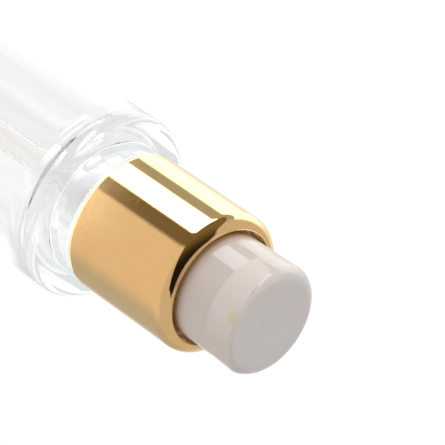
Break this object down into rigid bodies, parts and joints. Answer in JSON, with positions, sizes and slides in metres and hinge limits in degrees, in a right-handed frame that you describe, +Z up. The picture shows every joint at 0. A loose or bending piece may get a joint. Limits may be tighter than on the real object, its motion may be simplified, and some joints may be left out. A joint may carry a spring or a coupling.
{
  "type": "foundation bottle",
  "caption": "Clear glass cosmetic bottle with a screw-on treatment pump: polished gold collar, white press-and-turn button with side nozzle, sprung piston pump and dip tube.",
  "frame": {"origin": "centre of the base ring that the bottle stands on", "axes": "+Z up along the bottle's axis; the nozzle points along -Y at rest"},
  "size_m": [0.0322, 0.0322, 0.116],
  "materials": {
    "clear_glass": "clear, polished",
    "gold_metal": "polished and gold anodised",
    "closure_plastic": "natural white moulding",
    "gasket_foam": "soft, matt",
    "pump_plastic": "natural white moulding",
    "piston_plastic": "waxy",
    "spring_steel": "bright drawn wire",
    "ball_steel": "polished",
    "tube_plastic": "translucent, smooth",
    "button_plastic": "glossy, faintly translucent white",
    "core_plastic": "natural white moulding",
    "nozzle_plastic": "satin ivory"
  },
  "bodies": {
    "bottle": {"glass_bottle": "clear_glass"},
    "pump_body": {"pump_housing": "pump_plastic", "lock_ring": "pump_plastic", "neck_gasket": "gasket_foam", "ball_cage": "pump_plastic", "dip_tube": "tube_plastic"},
    "collar": {"collar_shell": "gold_metal", "inner_closure": "closure_plastic"},
    "spring": {"return_spring": "spring_steel"},
    "button": {"button_shell": "button_plastic", "button_core": "core_plastic", "nozzle_insert": "nozzle_plastic", "stem": "pump_plastic", "piston_rod": "piston_plastic"},
    "piston": {"piston": "piston_plastic"},
    "inlet_ball": {"inlet_ball": "ball_steel"}
  },
  "joints": [
    {"name": "pump_lift", "type": "slide", "parent": "bottle", "child": "pump_body", "axis": [0, 0, 1], "range_m": [0, 0.00397]},
    {"name": "collar_turn", "type": "hinge", "parent": "pump_body", "child": "collar", "pos_m": [0, 0, 0.09], "axis": [0, 0, 1], "range_deg": [0, 450]},
    {"name": "button_swivel", "type": "hinge", "parent": "pump_body", "child": "spring", "pos_m": [0, 0, 0.1], "axis": [0, 0, 1], "continuous": true},
    {"name": "button_press", "type": "slide", "parent": "spring", "child": "button", "axis": [0, 0, -1], "range_m": [0, 0.0043], "stiffness_N_per_m": 900, "springref_m": -0.006, "deforming": ["return_spring"]},
    {"name": "piston_slip", "type": "slide", "parent": "button", "child": "piston", "axis": [0, 0, 1], "range_m": [0, 0.00058]},
    {"name": "ball_rise", "type": "slide", "parent": "pump_body", "child": "inlet_ball", "axis": [0, 0, 1], "range_m": [0, 0.0007]}
  ],
  "couplings": [
    {"joint": "pump_lift", "follows": "collar_turn", "m_per_rad": 0.00050532}
  ]
}
